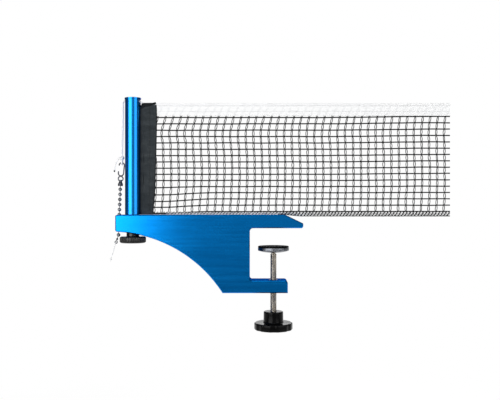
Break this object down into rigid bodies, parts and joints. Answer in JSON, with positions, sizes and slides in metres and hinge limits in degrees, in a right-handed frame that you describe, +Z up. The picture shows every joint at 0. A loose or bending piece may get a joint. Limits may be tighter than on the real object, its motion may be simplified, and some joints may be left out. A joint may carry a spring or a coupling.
{
  "type": "table tennis net clamp",
  "caption": "Screw-on table tennis net clamp with a one-piece bracket, height-adjustable post, net section and ball chain tensioner.",
  "frame": {"origin": "on the upper jaw's face that rests on the table top, on the clamp screw's axis, in the middle of the bracket's thickness", "axes": "+X along the net towards the middle of the table, +Y square to the net away from the viewer, +Z up"},
  "size_m": [0.4164, 0.0466, 0.2841],
  "materials": {
    "anodised_bracket": "blue anodised, brushed along the net",
    "anodised_post": "blue anodised, satin",
    "dark_steel": "dark plated steel",
    "screw_steel": "zinc plated, slightly warm grey",
    "chain_steel": "nickel plated, polished",
    "knob_plastic": "glossy moulded black",
    "wheel_plastic": "ribbed moulded black",
    "foot_plastic": "moulded nylon",
    "rod_plastic": "extruded nylon",
    "pad_chrome": "pressed and chromed steel",
    "pad_rubber": "black rubber",
    "band_fabric": "charcoal woven band",
    "net_string": "black knotted twine",
    "tape_fabric": "white woven tape, stitched",
    "hem_fabric": "grey and white twisted hem",
    "white_cord": "white twisted cord"
  },
  "bodies": {
    "frame": {"bracket": "anodised_bracket", "jaw_bush": "dark_steel"},
    "screw_carrier": {"ball_end": "screw_steel"},
    "clamp_screw": {"clamp_rod": "screw_steel", "clamp_knob": "knob_plastic"},
    "pad": {"pad_cup": "pad_chrome", "pad_facing": "pad_rubber"},
    "adjuster": {"height_wheel": "wheel_plastic", "height_screw": "screw_steel", "height_clip": "dark_steel"},
    "post": {"post_tube": "anodised_post", "post_cap": "anodised_post", "post_foot": "foot_plastic", "rail_rod": "rod_plastic", "side_band": "band_fabric", "net_mesh": "net_string", "net_tape": "tape_fabric", "net_hem": "hem_fabric", "head_cord": "white_cord"},
    "chain": {"cord_drop": "white_cord", "cord_knot": "white_cord", "hook": "dark_steel", "chain_bell": "dark_steel", "chain_balls": "chain_steel", "chain_links": "chain_steel", "chain_end": "dark_steel"},
    "tail": {"tail_string": "white_cord", "tail_knot": "white_cord"}
  },
  "joints": [
    {"name": "screw_feed", "type": "slide", "parent": "frame", "child": "screw_carrier", "axis": [0, 0, 1], "range_m": [-0.031, 0.0195]},
    {"name": "screw_turn", "type": "hinge", "parent": "screw_carrier", "child": "clamp_screw", "pos_m": [0, 0, -0.0314], "axis": [0, 0, 1], "range_deg": [-8929, 5617]},
    {"name": "pad_tilt", "type": "hinge", "parent": "screw_carrier", "child": "pad", "pos_m": [0, 0, -0.0283], "axis": [0, 1, 0], "range_deg": [-6, 6]},
    {"name": "wheel_turn", "type": "hinge", "parent": "frame", "child": "adjuster", "pos_m": [-0.1718, 0, -0.0105], "axis": [0, 0, 1], "range_deg": [-1729, 0]},
    {"name": "post_height", "type": "slide", "parent": "frame", "child": "post", "axis": [0, 0, 1], "range_m": [0, 0.006]},
    {"name": "chain_tension", "type": "slide", "parent": "post", "child": "chain", "axis": [0, 0, 1], "range_m": [0, 0.0124], "deforming": ["cord_drop"]},
    {"name": "tail_swing", "type": "hinge", "parent": "chain", "child": "tail", "pos_m": [-0.19225, 0, -0.01754], "axis": [0, 1, 0], "range_deg": [-20, 50]}
  ],
  "couplings": [
    {"joint": "screw_turn", "follows": "screw_feed", "rad_per_m": 5026.5},
    {"joint": "wheel_turn", "follows": "post_height", "rad_per_m": -5026.5}
  ]
}
